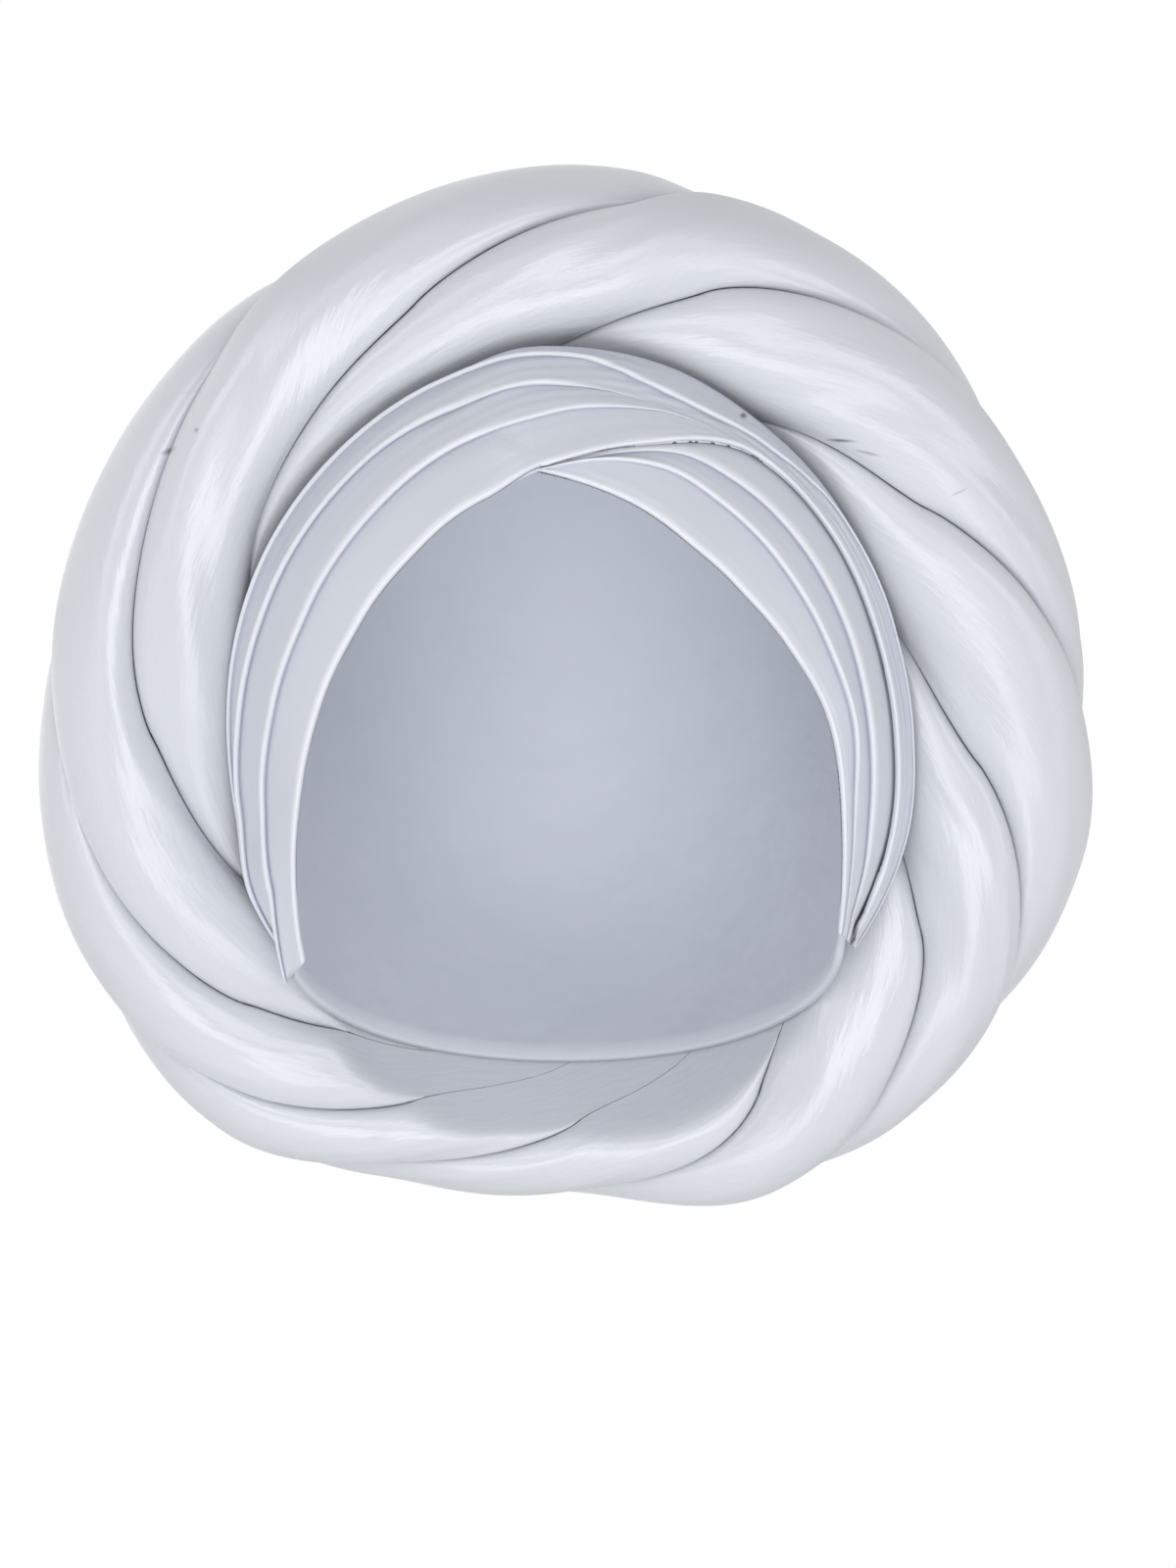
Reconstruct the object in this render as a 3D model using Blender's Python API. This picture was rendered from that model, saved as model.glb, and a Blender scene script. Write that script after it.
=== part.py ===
"""A ready-tied gele head tie: two pleated bands crossed over the forehead, a ring of twisted padded
folds round them, and the crown cap that carries both.

Metres, +Z up, the face opening towards -Y. The origin is the seat, the point on the inside of the cap
where the top of the head bears. Angles are in degrees about the ring's centre as the front shows it,
from +X towards +Z. An angle round the roll is 0 at its outline, 90 at its front and 180 at the head.
"""

import bmesh
import bpy
import numpy as np

# The head hollow, which the cap wraps
HEAD_WIDTH = 0.150
HEAD_DEPTH = 0.190
HEAD_HEIGHT = 0.226
HEAD_SQUARENESS = 2.3
NAPE_TAPER = 0.55
CAP_WALL = 0.002
CAP_RIM_INSET = 0.004
NAPE_TUCK = 0.010
CROWN_ANGLE = 40.0

# The ring of padded folds, which reaches out from the head's sides. The shares are of the head's
# height and depth: how far the ring's centre lies below the seat and behind the head's middle, and
# how far its top leans forwards and its bottom back.
ROLL_REACH = 0.065
RING_RADIUS = HEAD_WIDTH / 2 + ROLL_REACH
DROP_SHARE = 0.354
SET_BACK_SHARE = 0.158
LEAN_SHARE = 0.237
RING_DROP = HEAD_HEIGHT * DROP_SHARE
RING_SET_BACK = HEAD_DEPTH * SET_BACK_SHARE
RING_LEAN = HEAD_DEPTH * LEAN_SHARE
ROLL_DEPTH = 0.084
CREASE_SHARE = 0.30
CORE_SHARE = 0.20
SEAM_MARGIN = 2.0

# The pleated bands
CLOTH = 0.0016
PLEAT_RISE = 0.0018
TUCK_SHARE = 0.85
BAND_BELLY = 0.45
NESTLE_SHARE = 0.4
LIFT_SPAN = 60.0

# Clearances between pieces that lie against each other
GAP = 0.0003
SEATING = 0.0006

# How finely the curved faces are cut
RING_ROWS = 60
FOLD_FACES = 10
TIP_WIDTH = 12.0
OVER_ROWS = 46
UNDER_ROWS = 25
CAP_COLUMNS = 36
CAP_ROWS = 7

CLOTH_WHITE = (0.68, 0.70, 0.75, 1.0)

# The roll's section by angle: outer and inner radius as shares of RING_RADIUS, depth as a share of
# ROLL_DEPTH. It is fullest below the left ear and thinnest behind the neck.
RING_TABLE = (
    # angle, outer, inner, depth
    (0, 1.010, 0.545, 1.00),
    (30, 0.975, 0.550, 1.00),
    (60, 0.985, 0.560, 1.00),
    (90, 0.980, 0.580, 1.00),
    (120, 0.955, 0.560, 1.00),
    (150, 0.965, 0.550, 1.00),
    (180, 1.005, 0.545, 1.00),
    (210, 1.065, 0.600, 0.97),
    (232, 1.082, 0.650, 0.90),
    (255, 1.000, 0.680, 0.78),
    (272, 0.990, 0.680, 0.72),
    (293, 1.065, 0.660, 0.82),
    (320, 1.060, 0.600, 0.94),
    (342, 1.052, 0.560, 1.00),
)

# Each crease runs clockwise from the head to the outline and on round the back: its angle about the
# ring where it passes each of these angles round the roll.
ROUND_ROLL = (205, 140, 90, 45, 0, -155)
CREASE_TABLE = (
    # seam, valley, front, shoulder, outline, back
    (306, 286, 272, 256, 242, 170),
    (285, 264, 250, 230, 215, 140),
    (268, 247, 225, 198, 173, 96),
    (240, 219, 187, 140, 123, 50),
    (188, 165, 111, 83, 73, 4),
    (112, 89, 70, 50, 32, -36),
    (74, 52, 26, 10, -4, -71),
    (35, 13, -10, -25, -38, -103),
    (2, -18, -34, -50, -61, -128),
    (-31, -50, -64, -78, -90, -155),
)

# The upper band by angle: its free edge and its outer edge as shares of RING_RADIUS. Its free edge is
# the face edge on the left, and crosses the lower band on the right.
OVER_TABLE = (
    # angle, free edge, outer edge
    (-42, 0.708, 0.726),
    (-24, 0.659, 0.694),
    (-7, 0.609, 0.649),
    (10, 0.576, 0.617),
    (30, 0.559, 0.604),
    (50, 0.540, 0.602),
    (71, 0.455, 0.616),
    (87, 0.408, 0.621),
    (96, 0.392, 0.624),
    (113, 0.360, 0.600),
    (133, 0.355, 0.591),
    (163, 0.389, 0.606),
    (184, 0.446, 0.626),
    (201, 0.519, 0.657),
    (214, 0.601, 0.711),
    (227, 0.690, 0.732),
)

# The lower band's face edge by angle, as a share of RING_RADIUS. The last row is its hidden end,
# tucked under the upper band past the forehead peak.
UNDER_TABLE = (
    # angle, face edge
    (-42, 0.691),
    (-33, 0.622),
    (-24, 0.568),
    (-7, 0.494),
    (10, 0.419),
    (30, 0.365),
    (50, 0.346),
    (71, 0.356),
    (96, 0.392),
    (106, 0.445),
)

# Where the pleats' folded edges lie, as shares of the way from the free edge to the outer edge
OVER_PLEATS = (0.40, 0.72, 0.93)
UNDER_PLEATS = (0.34, 0.58, 0.80)


def smooth(x, xs, ys):
    """A curve through the points of xs and ys that never overshoots them."""
    xs, ys = np.asarray(xs, float), np.asarray(ys, float)
    steps = np.diff(ys) / np.diff(xs)
    before, after = steps[:-1], steps[1:]
    same_way = before * after > 0
    total = np.where(same_way, before + after, 1.0)
    slopes = np.concatenate(
        [steps[:1], np.where(same_way, 2 * before * after / total, 0.0), steps[-1:]]
    )
    i = np.clip(np.searchsorted(xs, x) - 1, 0, len(xs) - 2)
    span = xs[i + 1] - xs[i]
    t = (x - xs[i]) / span
    inside = (
        (2 * t**3 - 3 * t**2 + 1) * ys[i]
        + (t**3 - 2 * t**2 + t) * span * slopes[i]
        + (3 * t**2 - 2 * t**3) * ys[i + 1]
        + (t**3 - t**2) * span * slopes[i + 1]
    )
    below, above = ys[0] + (x - xs[0]) * slopes[0], ys[-1] + (x - xs[-1]) * slopes[-1]
    return np.where(x < xs[0], below, np.where(x > xs[-1], above, inside))


def column(table, index):
    return [row[index] for row in table]


def round_ring(angle, index):
    """A column of the ring's table at an angle, joined up round the ring."""
    angles = np.array(column(RING_TABLE, 0), float)
    values = np.array(column(RING_TABLE, index), float)
    angles = np.concatenate([angles[-2:] - 360, angles, angles[:2] + 360])
    values = np.concatenate([values[-2:], values, values[:2]])
    return smooth(np.mod(angle, 360), angles, values)


def roll_section(angle):
    """The roll's section at an angle: the radius and depth of its middle, and its two half sizes."""
    outer = RING_RADIUS * round_ring(angle, 1)
    inner = RING_RADIUS * round_ring(angle, 2)
    half_depth = ROLL_DEPTH / 2 * round_ring(angle, 3)
    middle_y = RING_SET_BACK - RING_LEAN * np.sin(np.radians(angle))
    return (outer + inner) / 2, middle_y, (outer - inner) / 2, half_depth


def place(angle, radius, y):
    """A point given by its angle and radius about the ring's centre and its depth."""
    turn = np.radians(angle)
    x, z = radius * np.cos(turn), radius * np.sin(turn) - RING_DROP
    return np.stack(np.broadcast_arrays(x, y, z), axis=-1)


def head_gauge(points, clearance):
    """Below 1 inside the head's space grown by the clearance, and above 1 outside it. Behind the
    ears the head draws in towards the nape."""
    x, y, z = points[..., 0], points[..., 1], points[..., 2] + HEAD_HEIGHT / 2
    below = np.clip(-z / (HEAD_HEIGHT / 2), 0, 1)
    drawn_in = np.where(y > 0, 1 - NAPE_TAPER * below**2, 1.0)
    plan = (x / (HEAD_WIDTH / 2 + clearance)) ** 2 + (
        y / (HEAD_DEPTH / 2 * drawn_in + clearance)
    ) ** 2
    level = np.abs(z / (HEAD_HEIGHT / 2 + clearance)) ** HEAD_SQUARENESS
    return (plan ** (HEAD_SQUARENESS / 2) + level) ** (1 / HEAD_SQUARENESS)


def furthest(start, along, inside):
    """How far each line from start can go, as a share, before inside(point) is false."""
    low, high = np.zeros(along.shape[:-1]), np.ones(along.shape[:-1])
    whole = inside(start + along)
    for _ in range(30):
        middle = (low + high) / 2
        good = inside(start + along * middle[..., None])
        low, high = np.where(good, middle, low), np.where(good, high, middle)
    return np.where(whole, 1.0, low)


def add_piece(name, vertices, faces):
    """One closed cloth piece as an object, with its faces pointing out."""
    mesh = bpy.data.meshes.new(name)
    mesh.from_pydata([tuple(v) for v in vertices], [], faces)
    bm = bmesh.new()
    bm.from_mesh(mesh)
    bmesh.ops.recalc_face_normals(bm, faces=bm.faces)
    bm.to_mesh(mesh)
    bm.free()
    mesh.shade_smooth()
    mesh.set_sharp_from_angle(angle=np.radians(50))
    mesh.materials.append(cloth_material(name))
    piece = bpy.data.objects.new(name, mesh)
    bpy.context.scene.collection.objects.link(piece)
    return piece


def cloth_material(name):
    material = bpy.data.materials.new(name)
    material.use_nodes = True
    shader = material.node_tree.nodes["Principled BSDF"]
    shader.inputs["Base Color"].default_value = CLOTH_WHITE
    shader.inputs["Roughness"].default_value = 0.45
    shader.inputs["Metallic"].default_value = 0.0
    return material


def split(a, b, c, d):
    """A four-cornered face as two triangles, always along the same diagonal."""
    return [(a, b, c), (a, c, d)]


def skin_faces(count, rows):
    """The faces between neighbouring rings. The wall that closes the ring is cut the other way, so
    that it matches the facing wall of the next piece."""
    faces = []
    for first in range(0, (rows - 1) * count, count):
        for j in range(count - 1):
            faces += split(first + j, first + count + j, first + count + j + 1, first + j + 1)
        last, after = first + count - 1, first + 2 * count - 1
        faces += split(after, first + count, first, last)
    return faces


def fan(first, count):
    """The flat end of a fold, as triangles from one corner of its core."""
    return [(first + count - 1, first + j, first + j + 1) for j in range(count - 2)]


def loft(name, rings):
    """A closed piece through rings of points, all of the same length, with both ends filled."""
    count, rows = len(rings[0]), len(rings)
    ends = fan(0, count) + fan((rows - 1) * count, count)
    return add_piece(name, np.concatenate(rings), skin_faces(count, rows) + ends)


# The padded folds


def crease(index, angle):
    """Where a crease is round the roll at an angle about the ring."""
    turns, row = divmod(index, len(CREASE_TABLE))
    angles = [value - 360 * turns for value in CREASE_TABLE[row]]
    return smooth(angle, angles[::-1], ROUND_ROLL[::-1])


def crease_depth(around):
    """How deep the creases are as a share of the roll: shallow where the folds lie on the head."""
    return CREASE_SHARE * (0.35 + 0.65 * np.abs(np.cos(np.radians(around) / 2)) ** 0.6)


def in_roll(angle, around, share):
    """A point of the roll by its angle about the ring, its angle round the roll and its depth share."""
    radius, y, half_width, half_depth = roll_section(angle)
    turn = np.radians(around)
    return place(
        angle,
        radius + share * half_width * np.cos(turn),
        y - share * half_depth * np.sin(turn),
    )


def fold_ring(index, angle):
    """A fold's section at an angle about the ring, or None where it has run out."""
    low, high = crease(index, angle), crease(index + 1, angle)
    top, bottom = min(high, ROUND_ROLL[0] - SEAM_MARGIN), max(low, ROUND_ROLL[-1] + SEAM_MARGIN)
    if top - bottom < TIP_WIDTH:
        return None
    spread = (1 - np.cos(np.linspace(0, np.pi, FOLD_FACES + 1))) / 2
    around = bottom + (top - bottom) * spread
    across = 2 * (around - low) / (high - low) - 1
    crown = np.sqrt(1 - np.clip(np.abs(across), 0, 1) ** 2.4)
    full = 1 - crease_depth(around) * (1 - crown)
    middle = in_roll(angle, around, 0.0)
    skin = in_roll(angle, around, full)
    clear = CAP_WALL + SEATING
    reach = furthest(middle, skin - middle, lambda points: head_gauge(points, clear) > 1)
    skin = middle + (skin - middle) * reach[:, None]
    core = in_roll(angle, np.array([top, bottom]), CORE_SHARE)
    ring = np.concatenate([skin, core])
    return inset_walls(ring)


def inset_walls(ring):
    """Moves both side walls of a fold's section inwards by half the gap and a little more."""
    inward = ring.mean(axis=0)
    for outer, inner in ((0, -1), (-3, -2)):
        wall = ring[outer] - ring[inner]
        wall = wall / np.linalg.norm(wall)
        side = inward - ring[inner]
        side = side - wall * (side @ wall)
        shift = side / np.linalg.norm(side) * GAP * 0.65
        ring[outer] += shift
        ring[inner] += shift
    return ring


def padded_fold(index):
    """One padded fold, from where it leaves the head, over the outline and back to the head behind."""
    start = CREASE_TABLE[index][0]
    step = 360 / RING_ROWS
    angles = [step * row for row in range(int(start // step), int(start // step) - RING_ROWS, -1)]
    rings = [ring for ring in (fold_ring(index, angle) for angle in angles) if ring is not None]
    return loft(f"padded_fold_{index + 1:02d}", rings)


# The pleated bands


def face_edge(angle):
    """The face opening's radius at an angle, over both bands."""
    left = smooth(angle, column(OVER_TABLE, 0), column(OVER_TABLE, 1))
    right = smooth(angle, column(UNDER_TABLE, 0), column(UNDER_TABLE, 1))
    peak = UNDER_TABLE[-2][0]
    return RING_RADIUS * np.where(angle > peak, left, right)


def over_edge(angle):
    return RING_RADIUS * smooth(angle, column(OVER_TABLE, 0), column(OVER_TABLE, 1))


def outer_edge(angle):
    return RING_RADIUS * smooth(angle, column(OVER_TABLE, 0), column(OVER_TABLE, 2))


def under_face(angle):
    return RING_RADIUS * smooth(angle, column(UNDER_TABLE, 0), column(UNDER_TABLE, 1))


def band_share(angle, radius):
    """A radius as a share of the way from the face edge to the bands' outer edge."""
    return (radius - face_edge(angle)) / (outer_edge(angle) - face_edge(angle))


def over_lift(angle):
    """How high the upper band's back rides: on the cap at the left, on the lower band at the right."""
    ramp = np.clip((UNDER_TABLE[-1][0] + LIFT_SPAN - angle) / (0.8 * LIFT_SPAN), 0, 1)
    return (CLOTH + PLEAT_RISE + GAP) * ramp * ramp * (3 - 2 * ramp)


def band_seat(angle, share):
    """The surface that the bands lie on, from the face edge on the cap out to the roll's valley."""
    first, last = face_edge(angle), outer_edge(angle)
    middle_radius, middle_y, half_width, half_depth = roll_section(angle)
    stack = SEATING + NESTLE_SHARE * (over_lift(angle) + CLOTH + PLEAT_RISE)
    side = np.clip((last - middle_radius) / (half_width + stack), -1, 1)
    valley_y = middle_y - (half_depth + stack) * np.sqrt(1 - side**2)
    edge = place(angle, first, 0.0)
    ahead = furthest(
        edge,
        np.array([0.0, -HEAD_DEPTH, 0.0]) + 0 * edge,
        lambda points: head_gauge(points, CAP_WALL + SEATING) < 1,
    )
    face_y = -HEAD_DEPTH * ahead
    lean = share - BAND_BELLY * share * (1 - share)
    points = place(angle, first + (last - first) * share, face_y + (valley_y - face_y) * lean)
    return off_head(points)


def off_head(points):
    """Moves points that lie in the cap out to its outside."""
    middle = np.array([0.0, 0.0, -HEAD_HEIGHT / 2])
    for _ in range(4):
        gauge = head_gauge(points, CAP_WALL + SEATING)
        points = middle + (points - middle) * np.maximum(1 / gauge, 1)[..., None]
    return points


def off_roll(points, angle, clearance):
    """Moves points that lie in the roll, or within the clearance of it, out to that distance."""
    radius, y, half_width, half_depth = roll_section(angle)
    out = np.hypot(points[..., 0], points[..., 2] + RING_DROP) - radius
    back = points[..., 1] - y
    gauge = np.hypot(out / (half_width + clearance), back / (half_depth + clearance))
    grow = np.maximum(1 / gauge, 1)
    return place(angle, radius + out * grow, y + back * grow)


def band_normal(angle, share):
    """The direction out of the bands' seat, towards the front."""
    out = band_seat(angle, share + 0.03) - band_seat(angle, share - 0.03)
    along = band_seat(angle + 1.0, share) - band_seat(angle - 1.0, share)
    normal = np.cross(out, along)
    return normal / np.linalg.norm(normal, axis=-1, keepdims=True)


def pleat_height(share, pleats):
    """The height of shingled pleats over the band's back: each folded edge stands up and slopes off,
    and the outer edge thins out where it goes under the roll."""
    edges = np.array([0.0, *pleats, 1.0])
    i = np.clip(np.searchsorted(edges, share + 1e-6) - 1, 0, len(edges) - 2)
    fall = (share - edges[i]) / (edges[i + 1] - edges[i])
    thin = np.where(share > 0.999, 0.5, 1.0)
    return CLOTH * thin + PLEAT_RISE * (1 - fall) * np.where(i > 0, 1.0, 0.3)


def band_lines(pleats):
    """Where the band's lengthwise lines lie: both sides of each folded edge and the middles."""
    edges = np.array([0.0, *pleats, 1.0])
    shares = [0.0]
    for low, high in zip(edges[:-1], edges[1:]):
        shares += [(low + high) / 2, high - 0.015, high]
    return np.array(shares)


def band_ring(angle, first, last, base, pleats):
    """A band's section at an angle: its front over its back, as one closed ring."""
    lines = band_lines(pleats)
    share = first + (last - first) * lines
    seat, normal = band_seat(angle, share), band_normal(angle, share)
    front = seat + normal * (base + pleat_height(lines, pleats))[:, None]
    front = off_roll(front, angle, SEATING)
    back = seat + normal * base
    return np.concatenate([front, back[::-1]])


def front_band_over():
    """The upper band: up the left side, over the peak and down the right side's outer edge."""
    rings = []
    for angle in np.linspace(OVER_TABLE[-1][0], OVER_TABLE[0][0], OVER_ROWS):
        first = band_share(angle, over_edge(angle))
        rings.append(band_ring(angle, first, 1.0, over_lift(angle), OVER_PLEATS))
    band_loft("front_band_over", rings)


def front_band_under():
    """The lower band: from under the upper band at the peak down the right side."""
    rings = []
    for angle in np.linspace(UNDER_TABLE[-1][0], UNDER_TABLE[0][0], UNDER_ROWS):
        first = band_share(angle, under_face(angle))
        free = band_share(angle, over_edge(angle))
        rings.append(band_ring(angle, first, free + TUCK_SHARE * (1 - free), 0.0, UNDER_PLEATS))
    band_loft("front_band_under", rings)


def band_loft(name, rings):
    """A closed strip through its sections, with its two narrow ends filled face to back."""
    count, rows = len(rings[0]), len(rings)
    half = count // 2
    faces = skin_faces(count, rows)
    for first in (0, (rows - 1) * count):
        for j in range(half - 1):
            far = count - 1 - j
            faces += split(first + j, first + j + 1, first + far - 1, first + far)
    return add_piece(name, np.concatenate(rings), faces)


# The crown cap


def cap_point(turn, tilt, clearance):
    """A point of the cap's face. The tilt is counted from the back of the crown, and the turn goes
    round that point, 90 towards the forehead and -90 towards the nape."""
    around, lean, pole = np.radians(turn), np.radians(tilt), np.radians(CROWN_ANGLE)
    back = np.array([0.0, np.cos(pole), np.sin(pole)])
    over = np.array([0.0, -np.sin(pole), np.cos(pole)])
    side = np.array([1.0, 0.0, 0.0])
    way = np.cos(lean) * back + np.sin(lean) * (np.cos(around) * side + np.sin(around) * over)
    start = np.array([0.0, 0.0, -RING_DROP])
    share = furthest(start, way * HEAD_HEIGHT, lambda point: head_gauge(point, clearance) < 1)
    return start + way * HEAD_HEIGHT * share


def in_cap(point):
    """Whether the cap covers this point of the head: outside the face edge and above a line from
    the bands' lower ends back to the nape, where the cap tucks down inside the roll."""
    angle = np.degrees(np.arctan2(point[2] + RING_DROP, point[0]))
    angle = np.mod(angle - UNDER_TABLE[0][0], 360) + UNDER_TABLE[0][0]
    radius = np.hypot(point[0], point[2] + RING_DROP)
    nape_radius, nape_y, nape_half, _ = roll_section(270.0)
    ends = (OVER_TABLE[-1], UNDER_TABLE[0])
    ear_z = min(RING_RADIUS * row[1] * np.sin(np.radians(row[0])) for row in ends)
    nape_z = nape_half - nape_radius - NAPE_TUCK
    level = ear_z + (nape_z - ear_z) * np.clip(point[1] / nape_y, 0, 1)
    covered = point[1] > 0 or radius > face_edge(angle) + CAP_RIM_INSET
    return covered and point[2] + RING_DROP > level


def cap_rim(turn):
    """The tilt at which the cap ends."""
    low, high = 30.0, 170.0
    for _ in range(20):
        tilt = (low + high) / 2
        low, high = (tilt, high) if in_cap(cap_point(turn, tilt, CAP_WALL)) else (low, tilt)
    return low


def crown_cap():
    """The cap as one wall: its outside, its inside and the rim between them."""
    turns = np.arange(CAP_COLUMNS) * 360 / CAP_COLUMNS
    rims = [cap_rim(turn) for turn in turns]
    points = []
    for clearance in (CAP_WALL, 0.0):
        points.append(cap_point(0.0, 0.0, clearance))
        for row in range(1, CAP_ROWS + 1):
            share = row / CAP_ROWS
            points += [cap_point(turn, rim * share, clearance) for turn, rim in zip(turns, rims)]
    inside = len(points) // 2
    rim = inside - CAP_COLUMNS
    faces = []
    for j in range(CAP_COLUMNS):
        k = (j + 1) % CAP_COLUMNS
        for first in (0, inside):
            faces.append((first, first + 1 + j, first + 1 + k))
            for near in range(first + 1, first + rim, CAP_COLUMNS):
                far = near + CAP_COLUMNS
                faces += split(near + j, far + j, far + k, near + k)
        faces += split(rim + j, inside + rim + j, inside + rim + k, rim + k)
    add_piece("crown_cap", np.array(points), faces)


def build():
    for thing in list(bpy.data.objects):
        bpy.data.objects.remove(thing)
    crown_cap()
    front_band_under()
    front_band_over()
    for index in range(len(CREASE_TABLE)):
        padded_fold(index)


build()
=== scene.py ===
"""The looks of a ready-tied gele head tie: satin folds twisted round the head, two pleated bands
crossed over the forehead, and the plain cap that carries them.

Metres, +Z up, the face opening towards -Y. Angles are in degrees about the ring's centre as the front
shows it, from +X towards +Z. An angle round the roll is 0 at its outline, 90 at its front and 180 at
the head. The sizes are the CAD model's, and the shapes follow it more finely.
"""

import functools
import math
import random

import bmesh
import bpy
import numpy as np
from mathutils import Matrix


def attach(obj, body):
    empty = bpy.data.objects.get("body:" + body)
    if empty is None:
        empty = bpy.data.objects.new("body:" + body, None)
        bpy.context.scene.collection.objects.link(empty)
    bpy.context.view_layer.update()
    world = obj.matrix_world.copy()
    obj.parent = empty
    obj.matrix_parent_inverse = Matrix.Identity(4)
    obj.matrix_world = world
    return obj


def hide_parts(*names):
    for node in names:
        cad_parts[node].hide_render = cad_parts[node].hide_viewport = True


# The head hollow, which the cap wraps
HEAD_WIDTH = 0.150
HEAD_DEPTH = 0.190
HEAD_HEIGHT = 0.226
HEAD_SQUARENESS = 2.3
NAPE_TAPER = 0.55
CAP_WALL = 0.002
CAP_RIM_INSET = 0.004
NAPE_TUCK = 0.010
CROWN_ANGLE = 40.0

# The ring of padded folds. The shares are of the head's height and depth.
ROLL_REACH = 0.065
RING_RADIUS = HEAD_WIDTH / 2 + ROLL_REACH
DROP_SHARE = 0.354
SET_BACK_SHARE = 0.158
LEAN_SHARE = 0.237
RING_DROP = HEAD_HEIGHT * DROP_SHARE
RING_SET_BACK = HEAD_DEPTH * SET_BACK_SHARE
RING_LEAN = HEAD_DEPTH * LEAN_SHARE
ROLL_DEPTH = 0.084
ROLL_SQUARENESS = 2.3

# A fold's section reaches in to CORE_SHARE of the roll and stops SEAM_MARGIN degrees short of the seam
# behind. The fold ends where it is under TIP_WIDTH degrees wide, or after FOLD_RUN degrees of the ring.
CORE_SHARE = 0.20
SEAM_MARGIN = 2.0
TIP_WIDTH = 5.0
FOLD_RUN = 250.0

# How deep the creases are as a share of the roll, what is left of that where the folds lie on the head
# and how soon, and how square a fold's crown is
CREASE_SHARE = 0.23
SHALLOW_SHARE = 0.35
SHALLOW_POWER = 0.6
CROWN_POWER = 2.1

# How far the creases stray from their even course, in degrees round the roll
CREASE_STRAY = 0.6
STRAYS = (
    # waves about the ring, how far each next crease's waves are shifted, share
    (5, 2.1, 1.0),
    (11, 4.7, 0.7),
)

# The long soft pulls in the satin, which have died out where the bands press on the folds
PULL_HEIGHT = 0.0009
PULLS_A_FOLD = 14
PULL_SEED = 310
PULLS_END = 118.0
PULLS_FADE = 25.0

# The pleated bands
CLOTH = 0.0016
PLEAT_RISE = 0.0018
TUCK_SHARE = 0.85
BAND_BELLY = 0.45
NESTLE_SHARE = 0.4

# The upper band's way down from the lower band on to the cap, in degrees and as a share of them, how
# steeply it comes down beside a pleat, and how far it stays clear of the lower band
LIFT_SPAN = 60.0
LIFT_RUN = 0.8
LIFT_SLOPE = 0.25
HEM_GAP = 0.0008

# A pleat: the radius of its folded edge, the slit under that edge, and how far the slit runs in, which
# is at most TUCK_LIMIT of the way to the next edge
FOLD_RADIUS = 0.0008
FOLD_SLIT = 0.0003
FOLD_TUCK = 0.0022
TUCK_LIMIT = 0.25

# The strips between the edges: how thick they are at the foot as a share of the cloth, how hollow
# their slope is, and how far the painted highlight of an edge spreads over them
STRIP_FOOT = 0.8
LAST_FOOT = 0.5
STRIP_POWER = 1.2
EDGE_HIGHLIGHT_WIDTH = 0.0008

# Where a band is narrow its pleats are flatter: they have LEAST_FULL of their height, and the band's
# width as a share of FULL_WIDTH besides, up to the whole
LEAST_FULL = 0.25
FULL_WIDTH = 0.020

# The faint lines pressed into each strip
PRESSED_LINES = (
    # height, distance from the folded edge, width
    (0.00022, 0.0032, 0.0009),
    (-0.00018, 0.0017, 0.0008),
)

# Clearances between pieces that lie against each other. Each wall of a fold gives up a little more
# than half of the gap.
GAP = 0.0003
WALL_SHARE = 0.65
SEATING = 0.0006

# How finely the pieces are cut, and how often a fold's section is smoothed
FOLD_STEP = 1.25
FOLD_FACES = 56
SOFTENING = 8
BAND_STEP = 1.0
STRIP_POINTS = 9
NOSE_POINTS = 7
BACK_POINTS = 24
CAP_COLUMNS = 120
CAP_ROWS = 40

# How finely places are searched for and directions measured
HALVINGS = 24
RIM_HALVINGS = 16
RIM_TILTS = (30.0, 170.0)
HEAD_PUSHES = 4
NORMAL_SHARE = 0.03
NORMAL_ANGLE = 1.0

# The roll's section by angle: outer and inner radius as shares of RING_RADIUS, depth as a share of
# ROLL_DEPTH
RING_TABLE = (
    # angle, outer, inner, depth
    (0, 1.010, 0.545, 1.00),
    (30, 0.975, 0.550, 1.00),
    (60, 0.985, 0.560, 1.00),
    (90, 0.980, 0.580, 1.00),
    (120, 0.955, 0.560, 1.00),
    (150, 0.965, 0.550, 1.00),
    (180, 1.005, 0.545, 1.00),
    (210, 1.065, 0.600, 0.97),
    (232, 1.082, 0.650, 0.90),
    (255, 1.000, 0.680, 0.78),
    (272, 0.990, 0.680, 0.72),
    (293, 1.065, 0.660, 0.82),
    (320, 1.060, 0.600, 0.94),
    (342, 1.052, 0.560, 1.00),
)

# Each crease runs clockwise from the head to the outline and on round the back: its angle about the
# ring where it passes each of these angles round the roll
ROUND_ROLL = (205, 140, 90, 45, 0, -155)
CREASE_TABLE = (
    # seam, valley, front, shoulder, outline, back
    (306, 286, 272, 256, 242, 170),
    (285, 264, 250, 230, 215, 140),
    (268, 247, 225, 198, 173, 96),
    (240, 219, 187, 140, 123, 50),
    (188, 165, 111, 83, 73, 4),
    (112, 89, 70, 50, 32, -36),
    (74, 52, 26, 10, -4, -71),
    (35, 13, -10, -25, -38, -103),
    (2, -18, -34, -50, -61, -128),
    (-31, -50, -64, -78, -90, -155),
)

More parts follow.
